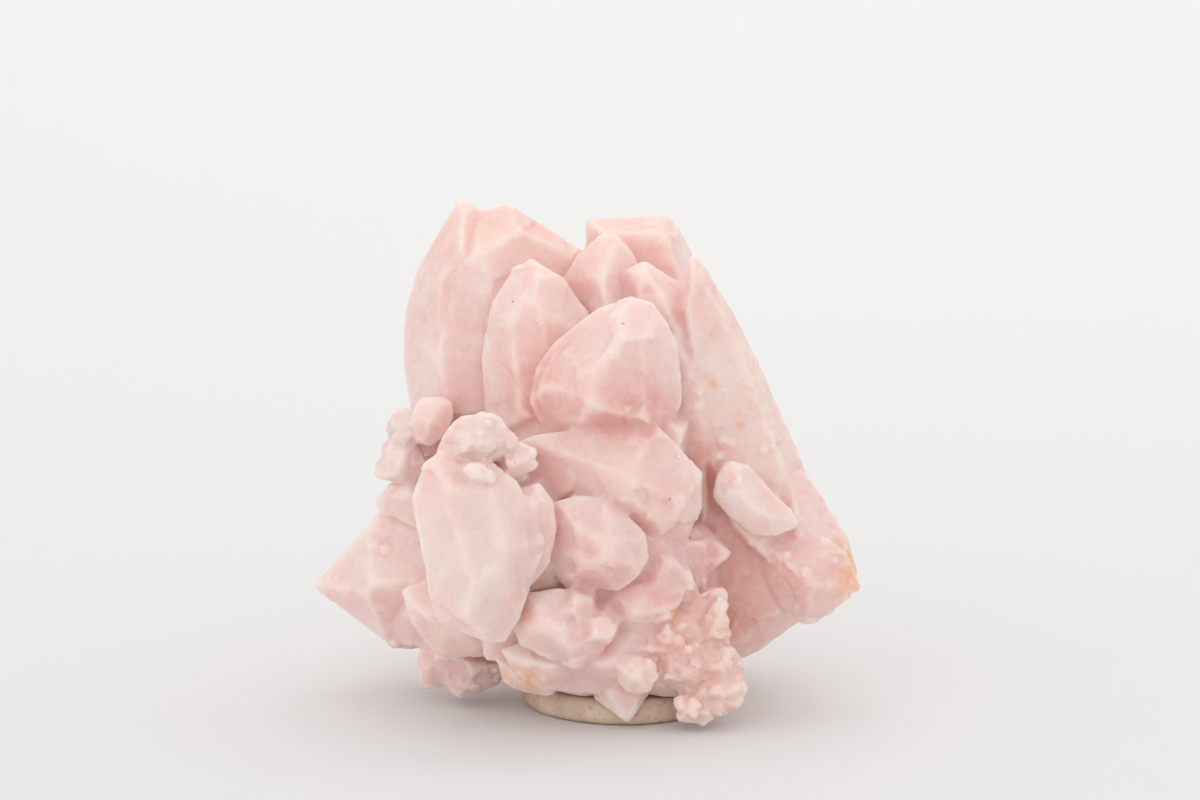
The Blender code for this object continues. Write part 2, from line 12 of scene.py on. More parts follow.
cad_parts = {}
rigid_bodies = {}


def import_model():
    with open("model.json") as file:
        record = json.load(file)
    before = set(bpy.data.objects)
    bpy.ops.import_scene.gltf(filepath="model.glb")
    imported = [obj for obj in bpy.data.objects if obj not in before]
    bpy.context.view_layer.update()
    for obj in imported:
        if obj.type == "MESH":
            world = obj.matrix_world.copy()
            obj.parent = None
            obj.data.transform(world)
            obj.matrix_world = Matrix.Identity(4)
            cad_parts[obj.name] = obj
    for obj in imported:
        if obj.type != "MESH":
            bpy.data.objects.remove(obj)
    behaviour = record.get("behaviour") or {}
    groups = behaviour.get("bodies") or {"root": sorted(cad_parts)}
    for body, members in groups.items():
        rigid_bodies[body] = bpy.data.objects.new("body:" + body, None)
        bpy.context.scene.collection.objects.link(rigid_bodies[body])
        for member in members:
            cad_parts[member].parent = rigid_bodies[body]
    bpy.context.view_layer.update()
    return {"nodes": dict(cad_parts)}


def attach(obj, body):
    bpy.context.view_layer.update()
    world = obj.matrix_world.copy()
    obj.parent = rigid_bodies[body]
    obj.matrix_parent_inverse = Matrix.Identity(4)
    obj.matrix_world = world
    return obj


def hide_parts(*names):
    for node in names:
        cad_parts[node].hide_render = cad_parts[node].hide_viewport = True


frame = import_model()

# ---- Studio -----------------------------------------------------------------------------
# White card, flat under the cluster and curved up behind it. Wide soft lamps stand above
# and behind, in front and beside it, and one lights the card, so that shadows are faint.

MM = 0.001
CARD_COLOUR = (0.80, 0.796, 0.79)
CARD_WIDTH = 3.0
CARD_FRONT = -1.6
CARD_BEND_START = 0.5
CARD_BEND_RADIUS = 0.5
CARD_BEND_STEPS = 16
CARD_HEIGHT = 1.8


def new_material(name):
    """An empty material with its Principled shader: (material, node tree, shader)."""
    material = bpy.data.materials.new(name)
    material.use_nodes = True
    return material, material.node_tree, material.node_tree.nodes["Principled BSDF"]


def new_object(name, mesh):
    piece = bpy.data.objects.new(name, mesh)
    bpy.context.scene.collection.objects.link(piece)
    return piece


def studio_card():
    """White card: a flat floor, a round bend and an upright back."""
    profile = [(CARD_FRONT, 0.0), (CARD_BEND_START, 0.0)]
    for step in range(1, CARD_BEND_STEPS + 1):
        turn = math.pi / 2 * step / CARD_BEND_STEPS
        profile.append((
            CARD_BEND_START + CARD_BEND_RADIUS * math.sin(turn),
            CARD_BEND_RADIUS * (1 - math.cos(turn)),
        ))
    profile.append((CARD_BEND_START + CARD_BEND_RADIUS, CARD_HEIGHT))
    shape = bmesh.new()
    sides = [
        [shape.verts.new((x, y, z)) for y, z in profile]
        for x in (-CARD_WIDTH / 2, CARD_WIDTH / 2)
    ]
    for here, after in zip(zip(*sides), list(zip(*sides))[1:]):
        shape.faces.new((here[0], here[1], after[1], after[0])).smooth = True
    mesh = bpy.data.meshes.new("studio_card")
    shape.to_mesh(mesh)
    shape.free()
    material, _, shader = new_material("white card")
    shader.inputs["Base Color"].default_value = (*CARD_COLOUR, 1)
    shader.inputs["Roughness"].default_value = 0.7
    shader.inputs["Specular IOR Level"].default_value = 0.15
    mesh.materials.append(material)
    card = new_object("studio_card", mesh)


def soft_lamp(name, place, aim, size, power):
    """A flat rectangular lamp at place that faces aim."""
    lamp = bpy.data.lights.new(name, "AREA")
    lamp.shape = "RECTANGLE"
    lamp.size, lamp.size_y = size
    lamp.energy = power
    holder = new_object(name, lamp)
    holder.location = place
    holder.rotation_euler = (Vector(aim) - Vector(place)).to_track_quat("-Z", "Y").to_euler()


studio_card()
MIDDLE = Vector((-4, 2, 35)) * MM
LAMPS = (  # name, place, aim, width and height in metres, and watts
    ("lamp above and behind", (0.2, 0.4, 0.7), MIDDLE, (1.1, 0.9), 1.35),
    ("lamp in front", (-0.3, -1.1, 0.55), MIDDLE, (1.2, 0.9), 1.6),
    ("lamp beside", (-1.0, -0.4, 0.2), MIDDLE, (0.9, 0.6), 0.8),
    ("lamp on the card", (0, 0.35, 1.0), (0, 1.0, 0.45), (1.2, 0.3), 1.6),
)
AIR_BRIGHTNESS = 0.865
for lamp_values in LAMPS:
    soft_lamp(*lamp_values)

world = bpy.data.worlds.new("studio air")
bpy.context.scene.world = world
world.use_nodes = True
air = world.node_tree.nodes["Background"]
air.inputs["Color"].default_value = (1, 1, 1, 1)
air.inputs["Strength"].default_value = AIR_BRIGHTNESS
bpy.context.scene.view_settings.view_transform = "Standard"

CAMERA_DISTANCE = 558 * MM
CAMERA_RISE = math.radians(10)
CAMERA_AIM = Vector((-3.3, 0, 42.6)) * MM
CAMERA_LENS = 121.8  # in millimetres, on a sensor 36 wide
CAMERA_SENSOR = 36
camera = bpy.data.cameras.new("camera")
camera.lens = CAMERA_LENS
camera.sensor_width = CAMERA_SENSOR
camera.clip_start = 20 * MM
camera_holder = new_object("camera", camera)
camera_holder.location = CAMERA_AIM + CAMERA_DISTANCE * Vector(
    (0, -math.cos(CAMERA_RISE), math.sin(CAMERA_RISE))
)
camera_holder.rotation_euler = (math.pi / 2 - CAMERA_RISE, 0, 0)
bpy.context.scene.camera = camera_holder

# ---- Crystal cluster --------------------------------------------------------------------
# One piece of milky rose quartz. Its crystals grew into each other, so their faces meet in
# filled creases and eased edges, and light that enters it spreads inside, which makes the
# thin rims pale and the creases deep pink. Its colour has this painted in as well: a painted
# highlight on the proud rims and painted shade in the creases.

FILLING_GRAIN = 0.25 * MM  # how finely the stone is worked while its creases grow shut
FUSED = 0.1 * MM  # creases narrower than about twice this are grown shut
GRAIN = 0.22 * MM  # how finely its surface is worked after that
MOST_TRIANGLES = 192_000
ROUGH_SHARE = 0.12  # of the triangles, for a rough copy that is quick to look past
DRUSE_KINDS = 5
SQUARE_CENTIMETRES = 1e4  # in a square metre

# Places whose crystals stay small and sharp, and places broken and coarse instead of a
# crystal face, each as (middle, reach) in millimetres.
SHARP_PLACES = (
    ((-31, 0, 37), (6, 9, 8)),
    ((-17.5, -23, 40.5), (9, 7, 6)),
    ((9, -17, 9), (11, 8, 11)),
    ((11, -14, 17), (5, 6, 5)),
    ((-5, -24, 17), (5, 4, 5)),
    ((19, 0, 13.5), (5, 5, 4)),
    ((-22, -4, 4), (8, 8, 5)),
    ((-2, 31, 20), (9, 7, 8)),
    ((25, 15, 19), (9, 8, 8)),
)
COARSE_PLACES = (
    ((12, 0, 58), (6, 9, 9)),
    ((21, 0, 42), (7, 10, 14)),
    ((28, -2, 24), (8, 12, 13)),
    ((26, -6, 18), (9, 9, 8)),
    ((-13.5, -15, 7), (5, 5, 3.4)),
    ((9.4, -4, 45), (3, 6, 9)),
)

# Where small crystals grew last, each as (seed, number for each square centimetre, widths
# in millimetres, how far they keep to ridges, places). Only the first row keeps to its
# places. In the others many stray, or nearly all, for the reason given where they are grown.
DRUSE_PATCHES = (
    (3, 34, (1.2, 2.6), 0.9, (((-18, -23, 41), (8, 6, 6)), ((-14, -21, 37.6), (4, 4, 4)))),
    (4, 45, (1.2, 3.0), 0.7, (((-31.5, 0, 37), (4, 7, 7)), ((-33, 2, 29), (4, 5, 3)))),
    (5, 36, (1.2, 2.8), 0.8, (((11, -17, 9), (9, 6, 10)), ((11, -14, 17), (4, 4, 4)))),
    (6, 50, (0.9, 2.0), 0.3, (((20, 0, 12), (7, 7, 4)), ((17.5, 0, 14), (3, 4, 3)))),
    (7, 50, (0.8, 2.0), 0.8, (
        ((30, -3, 19), (4, 9, 8)), ((24, -2, 34), (4, 8, 12)), ((16, 0, 54), (5, 8, 12)),
    )),
    (8, 60, (0.8, 1.6), 0.9, (
        ((9.5, -5, 46), (3, 6, 9)), ((-22, -4, 4), (8, 6, 5)), ((-6, -24, 16), (5, 4, 5)),
    )),
    (9, 30, (1.0, 3.0), 0.6, (((-2, 31, 20), (9, 7, 8)), ((25, 15, 19), (9, 8, 8)))),
)


def nearness(points, places, softness=0.45):
    """For each point (mm), 1 well inside any of the places and 0 outside them all."""
    most = np.zeros(len(points))
    for middle, reach in places:
        distance = np.linalg.norm((points - middle) / reach, axis=1)
        share = np.clip((1 - distance) / softness, 0, 1)
        most = np.maximum(most, share * share * (3 - 2 * share))
    return most


def vertex_places(mesh):
    """Each vertex of a mesh as a row of x, y, z in millimetres."""
    places = np.empty(len(mesh.vertices) * 3, np.float32)
    mesh.vertices.foreach_get("co", places)
    return places.reshape(-1, 3).astype(float) / MM


def keep_values(mesh, name, values):
    """Store one number for each vertex under a name that nodes can read."""
    layer = mesh.attributes.get(name) or mesh.attributes.new(name, "FLOAT", "POINT")
    layer.data.foreach_set("value", values.astype(np.float32))


def spread(mesh, values, rounds):
    """values, one row for each vertex, averaged with their neighbours' again and again."""
    ends = np.empty(len(mesh.edges) * 2, np.int32)
    mesh.edges.foreach_get("vertices", ends)
    ends = ends.reshape(-1, 2)
    values = values.reshape(len(values), -1).astype(float)
    count = np.bincount(ends.ravel(), minlength=len(values))[:, None] + 1.0
    for _ in range(rounds):
        total = values.copy()
        for column in range(values.shape[1]):
            total[:, column] += np.bincount(ends[:, 0], values[ends[:, 1], column], len(values))
            total[:, column] += np.bincount(ends[:, 1], values[ends[:, 0], column], len(values))
        values = total / count
    return values


def worked_mesh(source, *modifiers):
    """The mesh that source becomes after modifiers, each (type, settings)."""
    piece = new_object("in work", source)
    for kind, settings in modifiers:
        modifier = piece.modifiers.new(kind.lower(), kind)
        for name, value in settings.items():
            if name != "sizes":
                setattr(modifier, name, value)
        for item in modifier.node_group.interface.items_tree if kind == "NODES" else ():
            if item.name in settings.get("sizes", {}):
                modifier[item.identifier] = settings["sizes"][item.name]
    mesh = bpy.data.meshes.new_from_object(
        piece.evaluated_get(bpy.context.evaluated_depsgraph_get())
    )
    bpy.data.objects.remove(piece)
    return mesh


def add(tree, kind, inputs=None, **settings):
    """A new node in tree. inputs maps a socket's name or number to a value or to an output."""
    node = tree.nodes.new(kind)
    for name, value in settings.items():
        setattr(node, name, value)
    for key, value in (inputs or {}).items():
        if isinstance(value, bpy.types.NodeSocket):
            tree.links.new(value, node.inputs[key])
        else:
            node.inputs[key].default_value = value
    return node


def new_shaping_tree(name, **inputs):
    """A Geometry Nodes tree with named inputs: (tree, its input node, its output node)."""
    tree = bpy.data.node_groups.new(name, "GeometryNodeTree")
    tree.interface.new_socket("Geometry", in_out="INPUT", socket_type="NodeSocketGeometry")
    for label, default in inputs.items():
        kind = {int: "Int", bpy.types.Material: "Material"}.get(type(default), "Float")
        socket = tree.interface.new_socket(
            label.replace("_", " "), in_out="INPUT", socket_type="NodeSocket" + kind
        )
        socket.default_value = default
    tree.interface.new_socket("Geometry", in_out="OUTPUT", socket_type="NodeSocketGeometry")
    return tree, tree.nodes.new("NodeGroupInput"), tree.nodes.new("NodeGroupOutput")


def work(tree, operation, *values):
    """A Math node's result."""
    return add(tree, "ShaderNodeMath", dict(enumerate(values)), operation=operation).outputs[0]


def stored(tree, name):
    """The value that keep_values stored under name, in a shaping tree."""
    return add(tree, "GeometryNodeInputNamedAttribute", {"Name": name}).outputs[0]


def pushed_out(tree, geometry, distance):
    """The geometry with each point moved by distance along its normal."""
    normal = add(tree, "GeometryNodeInputNormal").outputs[0]
    offset = add(tree, "ShaderNodeVectorMath", {0: normal, "Scale": distance}, operation="SCALE")
    return add(
        tree, "GeometryNodeSetPosition", {"Geometry": geometry, "Offset": offset.outputs[0]}
    ).outputs[0]


def noise_depth(tree, size, depth, detail=2.0, seed=0.0):
    """A random depth from -depth to depth that varies over about size."""
    place = add(tree, "GeometryNodeInputPosition").outputs[0]
    moved = add(tree, "ShaderNodeVectorMath", {0: place, 1: (seed, seed, seed)}).outputs[0]
    noise = add(
        tree, "ShaderNodeTexNoise",
        {"Vector": moved, "Scale": work(tree, "DIVIDE", 1.0, size), "Detail": detail},
    ).outputs[0]
    return work(tree, "MULTIPLY", work(tree, "MULTIPLY_ADD", noise, 4.0, -2.0), depth)


def finished(tree, geometry, given):
    """The end of a tree: its instances made real and the stone's material set."""
    plain = add(tree, "GeometryNodeRealizeInstances", {"Geometry": geometry}).outputs[0]
    return add(
        tree, "GeometryNodeSetMaterial",
        {"Geometry": plain, "Material": given.outputs["Finish"]},
    ).outputs[0]


def swelling_tree():
    """Moves the whole surface out or in by one distance."""
    tree, given, result = new_shaping_tree("swell", Distance=1 * MM, Finish=rose_quartz)
    moved = pushed_out(tree, given.outputs["Geometry"], given.outputs["Distance"])
    tree.links.new(finished(tree, moved, given), result.inputs[0])
    return tree


def leaning_patches(tree, place, size, tilt):
    """The height of flat patches about size wide, each leaning its own way."""
    patch = add(
        tree, "ShaderNodeTexVoronoi", {"Vector": place, "Scale": work(tree, "DIVIDE", 1.0, size)}
    )
    from_middle = add(
        tree, "ShaderNodeVectorMath", {0: place, 1: patch.outputs["Position"]},
        operation="SUBTRACT",
    ).outputs[0]
    lean = add(
        tree, "ShaderNodeVectorMath", {0: patch.outputs["Color"], 1: (0.5, 0.5, 0.5)},
        operation="SUBTRACT",
    ).outputs[0]
    height = add(
        tree, "ShaderNodeVectorMath", {0: from_middle, 1: lean}, operation="DOT_PRODUCT"
    ).outputs["Value"]
    return work(tree, "MULTIPLY", height, tilt)


def ramp(tree, value, start, end, low=0.0, high=1.0):
    """value, stretched from start..end to low..high and held there."""
    return add(
        tree, "ShaderNodeMapRange",
        {"Value": value, "From Min": start, "From Max": end, "To Min": low, "To Max": high},
    ).outputs[0]


def noise_at(tree, place, size, detail=3.0):
    """Cloudy values around 0.5 that vary over about size millimetres."""
    return add(
        tree, "ShaderNodeTexNoise", {"Vector": place, "Scale": 1 / (size * MM), "Detail": detail}
    ).outputs[0]


def towards(tree, share, start, end):
    """A colour that goes from start to end with share. 6 and 7 are the node's colour sockets."""
    start, end = ((*c, 1) if isinstance(c, tuple) else c for c in (start, end))
    return add(
        tree, "ShaderNodeMix", {"Factor": share, 6: start, 7: end}, data_type="RGBA"
    ).outputs[2]


def small_faces(tree, place, size):
    """(height, random number) of flat faces about size millimetres wide that lean at random."""
    cell = add(tree, "ShaderNodeTexVoronoi", {"Vector": place, "Scale": 1 / (size * MM)})
    height = leaning_patches(tree, place, size * MM, 1.0)
    return height, add(tree, "ShaderNodeSeparateColor", {0: cell.outputs["Color"]}).outputs[0]


def kept(tree, name, output="Fac"):
    """The value that keep_values stored under name, in a material."""
    return add(tree, "ShaderNodeAttribute", attribute_name=name).outputs[output]


# What changes the stone's tint, in this order: the stored value that it follows, where on
# it the change starts and ends, how strong it is at each, and the colour it goes towards.
# The first three rows are painted light: painted shade where crystals stand close and in
# creases, and a painted pale highlight along proud edges. The last is the small crystals' own tint.
TINT_AND_PAINTED_LIGHT = (
    ("open", 0.1, 0.94, 0.42, 0, (0.80, 0.42, 0.37)),  # deeper where crystals stand close
    ("ridge", 0.3, 1.2, 0, 0.55, (0.97, 0.79, 0.71)),  # paler along proud edges
    ("ridge", -0.25, -1.3, 0, 0.28, (0.78, 0.40, 0.35)),  # redder in creases
    ("grown", 0, 1, 0, 0.3, (0.95, 0.66, 0.57)),  # warmer in the small crystals
)
# Clouds and veils inside it, each as its size in millimetres and its detail, then as above.
CLOUDS = (
    (9, 2, 0.42, 0.72, 0, 0.4, (0.95, 0.84, 0.80)),
    (7, 2, 0.3, 0.55, 0.35, 0, (0.84, 0.50, 0.46)),
    (0.8, 3, 0.5, 0.7, 0, 0.2, (0.97, 0.86, 0.82)),
)
FACE_WIDTH = 1.3  # of the small flat faces all over the stone, in millimetres
FINE_FACE_WIDTH = 0.6
PALE_FACE = (0.98, 0.88, 0.84)
DEEP_FACE = (0.80, 0.48, 0.44)
# The colour of painted glints: white dots that stand in for light caught by tiny faces.
PAINTED_GLINT_COLOUR = (1, 0.95, 0.93)
RUST = (0.87, 0.51, 0.34)
DARK_SPECK = (0.28, 0.16, 0.13)
GLOW_DEPTH = 3.9 * MM  # how far red light spreads inside the large crystals
SMALL_GLOW_DEPTH = 0.75 * MM  # and inside the small ones


def dots(tree, place, size, channel, chosen, inner, outer):
    """1 in round dots, one in each chosen cell of about size millimetres, and 0 elsewhere."""
    cell = add(tree, "ShaderNodeTexVoronoi", {"Vector": place, "Scale": 1 / (size * MM)})
    chance = add(tree, "ShaderNodeSeparateColor", {0: cell.outputs["Color"]}).outputs[channel]
    chance = work(tree, "GREATER_THAN", chance, chosen)
    return work(
        tree, "MULTIPLY", chance, ramp(tree, cell.outputs["Distance"], inner, outer, 1, 0)
    )


def stone_material():
    """Milky quartz: its tint varies from place to place, cloudy inside, satin on clean faces, with
    painted shade in creases, a painted highlight on proud edges and painted glints.
    """
    material, tree, shader = new_material("rose quartz")
    place = add(tree, "ShaderNodeTexCoord").outputs["Object"]
    colour = kept(tree, "tint", "Color")
    # Painted shade in creases and where crystals stand close, a painted highlight on proud edges,
    # then the small crystals' own warmer tint.
    for name, *stretch, shade in TINT_AND_PAINTED_LIGHT:
        colour = towards(tree, ramp(tree, kept(tree, name), *stretch), colour, shade)
    for size, detail, *stretch, shade in CLOUDS:
        cloud = ramp(tree, noise_at(tree, place, size, detail), *stretch)
        colour = towards(tree, cloud, colour, shade)
    height, pale = small_faces(tree, place, FACE_WIDTH)
    finer, deep = small_faces(tree, place, FINE_FACE_WIDTH)
    colour = towards(tree, ramp(tree, pale, 0, 1, 0, 0.13), colour, PALE_FACE)
    colour = towards(tree, ramp(tree, deep, 0.5, 1, 0, 0.11), colour, DEEP_FACE)
    # Painted glints: small white dots in the places listed for them, standing in for light caught by
    # tiny faces.
    painted_glints = dots(tree, place, 0.7, 1, 0.72, 0.16, 0.26)
    painted_glints = work(tree, "MULTIPLY", painted_glints, kept(tree, "painted_glint"))
    colour = towards(tree, painted_glints, colour, PAINTED_GLINT_COLOUR)
    stains = ramp(tree, noise_at(tree, place, 1.2, 4), 0.38, 0.56)
    stains = work(tree, "MULTIPLY", kept(tree, "rusty"), stains)
    colour = towards(tree, work(tree, "MULTIPLY", stains, 0.95), colour, RUST)
    specks = dots(tree, place, 3, 0, 0.93, 0.05, 0.09)
    colour = towards(tree, work(tree, "MULTIPLY", specks, 0.6), colour, DARK_SPECK)
    tree.links.new(colour, shader.inputs["Base Color"])
    rough = ramp(tree, kept(tree, "coarse"), 0, 1, 0.36, 0.6)
    tree.links.new(rough, shader.inputs["Roughness"])
    shader.inputs["IOR"].default_value = 1.54
    shader.inputs["Subsurface Weight"].default_value = 0.78
    shader.inputs["Subsurface Radius"].default_value = (1.0, 0.6, 0.52)
    small = work(tree, "MULTIPLY", kept(tree, "small"), 0.8)
    small = work(tree, "MAXIMUM", kept(tree, "grown"), small)
    glow = ramp(tree, small, 0, 0.8, GLOW_DEPTH, SMALL_GLOW_DEPTH)
    tree.links.new(glow, shader.inputs["Subsurface Scale"])
    grain = work(tree, "ADD", height, work(tree, "MULTIPLY", finer, 0.8))
    frost = work(tree, "MULTIPLY", noise_at(tree, place, 0.5, 4), 0.05 * MM)
    bump = add(
        tree, "ShaderNodeBump",
        {"Height": work(tree, "ADD", grain, frost), "Strength": 0.16, "Distance": 1.0},
    )
    tree.links.new(bump.outputs[0], shader.inputs["Normal"])
    return material


rose_quartz = stone_material()


def surface_tree():
    """Eases the edges of the crystals, nicks them, and gives their faces steps and grain."""
    tree, given, result = new_shaping_tree(
        "stone surface", Ease=1, Wave_Size=8 * MM, Wave_Depth=0.08 * MM,
        Step_Size=5 * MM, Step_Tilt=0.06, Face_Size=1.9 * MM, Face_Tilt=0.05,
        Ripple_Size=1.6 * MM, Ripple_Depth=0.05 * MM, Coarse_Size=1.1 * MM,
        Coarse_Depth=0.14 * MM, Nick_Size=1.4 * MM, Nick_Depth=0.5 * MM, Finish=rose_quartz,
    )
    place = add(tree, "GeometryNodeInputPosition").outputs[0]
    easing = work(tree, "MULTIPLY_ADD", stored(tree, "sharp"), -0.9, 1.0)
    eased = add(
        tree, "GeometryNodeBlurAttribute",
        {"Value": place, "Iterations": given.outputs["Ease"], "Weight": easing},
        data_type="FLOAT_VECTOR",
    ).outputs["Value"]
    geometry = add(
        tree, "GeometryNodeSetPosition", {"Geometry": given.outputs["Geometry"], "Position": eased}
    ).outputs[0]
    # Growth steps: each patch of a face stands at a slightly different angle, and so does
    # each small face on it, most of all where the stone is broken or newly grown.
    step = leaning_patches(tree, place, given.outputs["Step Size"], given.outputs["Step Tilt"])
    small = leaning_patches(tree, place, given.outputs["Face Size"], given.outputs["Face Tilt"])
    uneven = work(tree, "MULTIPLY_ADD", stored(tree, "coarse"), 1.4, 0.2)
    uneven = work(tree, "ADD", uneven, work(tree, "MULTIPLY", stored(tree, "sharp"), 5.5))
    small = work(tree, "MULTIPLY", small, uneven)
    # Nicks: the proudest edges are chipped.
    nick = noise_depth(tree, given.outputs["Nick Size"], given.outputs["Nick Depth"], 3, 13)
    proud = add(
        tree, "ShaderNodeMapRange", {"Value": stored(tree, "ridge"), "From Min": 0.3, "From Max": 1}
    ).outputs[0]
    nick = work(tree, "MULTIPLY", work(tree, "MINIMUM", nick, 0.0), proud)
    wave = noise_depth(tree, given.outputs["Wave Size"], given.outputs["Wave Depth"])
    ripple = noise_depth(tree, given.outputs["Ripple Size"], given.outputs["Ripple Depth"], 3, 5)
    broken = noise_depth(tree, given.outputs["Coarse Size"], given.outputs["Coarse Depth"], 4, 9)
    depth = work(tree, "MULTIPLY", work(tree, "ADD", wave, step), easing)
    depth = work(tree, "ADD", depth, work(tree, "ADD", ripple, small))
    depth = work(tree, "ADD", depth, work(tree, "MULTIPLY", broken, stored(tree, "coarse")))
    depth = work(tree, "ADD", depth, nick)
    tree.links.new(finished(tree, pushed_out(tree, geometry, depth), given), result.inputs[0])
    return tree


def merged_copy(node):
    """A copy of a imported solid's mesh with the corners of its triangles joined."""
    shape = bmesh.new()
    shape.from_mesh(frame["nodes"][node].data)
    bmesh.ops.remove_doubles(shape, verts=shape.verts, dist=1e-7)
    mesh = bpy.data.meshes.new(node)
    mesh.materials.append(rose_quartz)
    shape.to_mesh(mesh)
    shape.free()
    return mesh


def ridges(mesh, places, rounds=12):
    """For each vertex, about 1 on a proud edge, 0 on a flat face and -1 in a crease."""
    normals = np.empty(len(places) * 3, np.float32)
    mesh.vertices.foreach_get("normal", normals)
    away = places - spread(mesh, places, rounds)
    return (away * normals.reshape(-1, 3)).sum(axis=1) / (0.018 * rounds)


def small_crystal(name, seed):
    """A short six-sided quartz point, one unit wide, closed below so that it can be sunk."""
    chance = np.random.default_rng(seed)
    shape = bmesh.new()
    rings = []
    for height, width in ((-1.0, 0.8), (chance.uniform(-0.15, 0.12), 1.0)):
        rings.append([
            shape.verts.new((
                width / 2 * chance.uniform(0.8, 1.15) * math.cos(math.tau * corner / 6),
                width / 2 * chance.uniform(0.8, 1.15) * math.sin(math.tau * corner / 6),
                height + chance.uniform(-0.08, 0.08),
            ))
            for corner in range(6)
        ])
    tip = shape.verts.new((*chance.uniform(-0.2, 0.2, 2), chance.uniform(0.3, 0.45)))
    for corner in range(6):
        after = (corner + 1) % 6
        shape.faces.new((rings[0][corner], rings[0][after], rings[1][after], rings[1][corner]))
        shape.faces.new((rings[1][corner], rings[1][after], tip))
    shape.faces.new(rings[0][::-1])
    bmesh.ops.triangulate(shape, faces=shape.faces)
    mesh = bpy.data.meshes.new(name)
    mesh.materials.append(rose_quartz)
    shape.to_mesh(mesh)
    shape.free()
    return bpy.data.objects.new(name, mesh)


def druse_tree(kinds):
    """Stands small crystals on the surface where its value "druse" is high, and keeps both."""
    tree, given, result = new_shaping_tree(
        "druse", Density=4e5, Narrowest=1 * MM, Widest=2 * MM, Lean=0.5, Seed=1, Finish=rose_quartz,
    )
    thickness = work(tree, "MULTIPLY", stored(tree, "druse"), given.outputs["Density"])
    points = add(
        tree, "GeometryNodeDistributePointsOnFaces",
        {"Mesh": given.outputs["Geometry"], "Density": thickness, "Seed": given.outputs["Seed"]},
    )
    lean = given.outputs["Lean"]
    tip_over = add(
        tree, "FunctionNodeRandomValue",
        {0: (-1, -1, -3), 1: (1, 1, 3), "Seed": given.outputs["Seed"]}, data_type="FLOAT_VECTOR",
    ).outputs[0]
    tip_over = add(
        tree, "ShaderNodeVectorMath", {0: tip_over, "Scale": lean}, operation="SCALE"
    ).outputs[0]
    turned = add(
        tree, "FunctionNodeRotateRotation",
        {
            "Rotation": points.outputs["Rotation"],
            "Rotate By": add(tree, "FunctionNodeEulerToRotation", {0: tip_over}).outputs[0],
        },
        rotation_space="LOCAL",
    ).outputs[0]
    width = add(
        tree, "FunctionNodeRandomValue",
        {2: given.outputs["Narrowest"], 3: given.outputs["Widest"], "Seed": 7}, data_type="FLOAT",
    ).outputs[1]
    standing = add(
        tree, "GeometryNodeInstanceOnPoints",
        {
            "Points": points.outputs["Points"],
            "Instance": add(
                tree, "GeometryNodeCollectionInfo",
                {0: kinds, "Separate Children": True, "Reset Children": True},
            ).outputs[0],
            "Pick Instance": True, "Rotation": turned, "Scale": width,
        },
    ).outputs[0]
    plain = add(tree, "GeometryNodeRealizeInstances", {"Geometry": standing}).outputs[0]
    both = add(tree, "GeometryNodeJoinGeometry")
    tree.links.new(given.outputs["Geometry"], both.inputs[0])
    tree.links.new(plain, both.inputs[0])
    tree.links.new(finished(tree, both.outputs[0], given), result.inputs[0])
    return tree


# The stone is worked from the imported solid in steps. It is made even, swollen so that narrow
# creases close, made even again and shrunk back to its size.
swell = swelling_tree()
solid = merged_copy("crystal_cluster")
stone = worked_mesh(
    solid,
    ("REMESH", {"mode": "VOXEL", "voxel_size": FILLING_GRAIN}),
    ("NODES", {"node_group": swell, "sizes": {"Distance": FUSED}}),
    ("REMESH", {"mode": "VOXEL", "voxel_size": FILLING_GRAIN}),
    ("NODES", {"node_group": swell, "sizes": {"Distance": -FUSED}}),
)
bare = BVHTree.FromPolygons(
    [v.co for v in stone.vertices], [p.vertices[:] for p in stone.polygons]
)
# Small crystals are stood on it, patch after patch. A tree that joins them to the stone puts
# the latest ones first, so from the second patch on each share below falls on a vertex some
# way along from its own, and many crystals stray from the places that their row names.
kinds = bpy.data.collections.new("druse kinds")
for number in range(DRUSE_KINDS):
    kinds.objects.link(small_crystal(f"druse_kind_{number}", number))
places = vertex_places(stone)
bare_ridge = np.clip(ridges(stone, places, 16), 0, 1)
growing = druse_tree(kinds)
for seed, density, widths, on_ridges, patches in DRUSE_PATCHES:
    host = stone.copy()
    chance = nearness(places, patches, 0.6) * (1 - on_ridges + on_ridges * bare_ridge)
    keep_values(host, "druse", np.pad(chance, (0, len(host.vertices) - len(chance))))
    stone = worked_mesh(host, ("NODES", {"node_group": growing, "sizes": {
        "Density": density * SQUARE_CENTIMETRES, "Seed": seed,
        "Narrowest": widths[0] * MM, "Widest": widths[1] * MM,
    }}))
for kind in list(kinds.objects):
    bpy.data.objects.remove(kind)
bpy.data.collections.remove(kinds)
# Then it is made even once more, so that they are one skin with it, its surface is worked,
# and it is brought down to the triangles that it may have.
stone = worked_mesh(stone, ("REMESH", {"mode": "VOXEL", "voxel_size": GRAIN}))
places = vertex_places(stone)
keep_values(stone, "sharp", nearness(places, SHARP_PLACES))
keep_values(stone, "coarse", nearness(places, COARSE_PLACES))
keep_values(stone, "ridge", ridges(stone, places))
stone = worked_mesh(stone, ("NODES", {"node_group": surface_tree()}))
stone.calc_loop_triangles()
share = MOST_TRIANGLES / len(stone.loop_triangles)
stone = worked_mesh(stone, ("DECIMATE", {"ratio": min(1, share)}))

